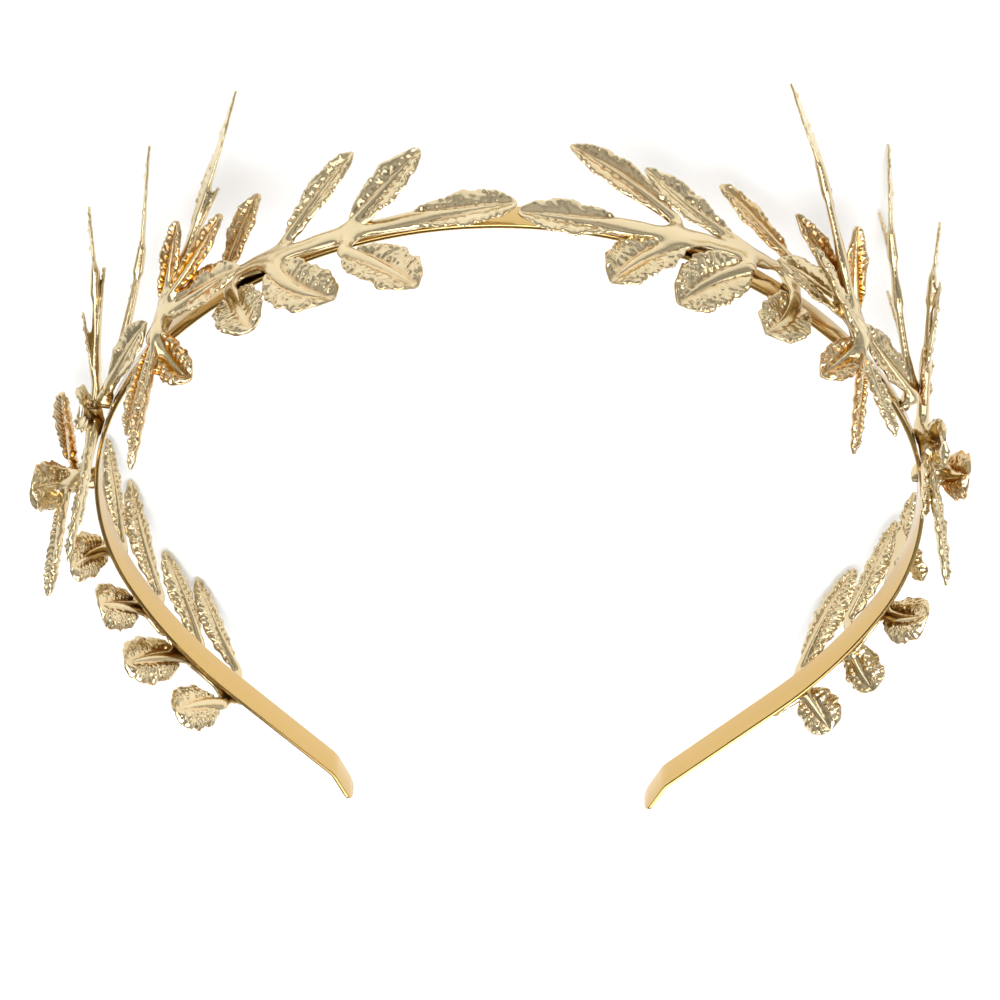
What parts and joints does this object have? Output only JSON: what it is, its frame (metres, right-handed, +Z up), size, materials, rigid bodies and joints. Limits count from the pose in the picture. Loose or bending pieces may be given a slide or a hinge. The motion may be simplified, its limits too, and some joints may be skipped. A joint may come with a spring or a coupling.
{
  "type": "laurel wreath crown",
  "caption": "Open metal headband with cast laurel sprigs around its outside, their tips meeting at the front, and outward-bent tips at its open back.",
  "frame": {"origin": "centre of the footprint on the floor plane, which the leaf tips that the crown lies on touch", "axes": "The crown lies upside down, 6 degrees off level. +X is to the right of the picture, +Y is towards the crown's front, where the sprigs meet, and +Z is up from the floor, towards the band's lower edge as worn."},
  "size_m": [0.1654, 0.1515, 0.0506],
  "materials": {
    "polished_band": "polished champagne gold plate",
    "cast_gold": "polished cast relief, champagne gold plate"
  },
  "bodies": {
    "root": {"band": "polished_band", "left_front_sprig": "cast_gold", "left_second_sprig": "cast_gold", "left_third_sprig": "cast_gold", "left_fourth_sprig": "cast_gold", "left_side_sprig": "cast_gold", "left_rear_sprig": "cast_gold", "left_end_sprig": "cast_gold", "right_front_sprig": "cast_gold", "right_second_sprig": "cast_gold", "right_third_sprig": "cast_gold", "right_fourth_sprig": "cast_gold", "right_side_sprig": "cast_gold", "right_rear_sprig": "cast_gold", "right_end_sprig": "cast_gold"}
  },
  "joints": []
}
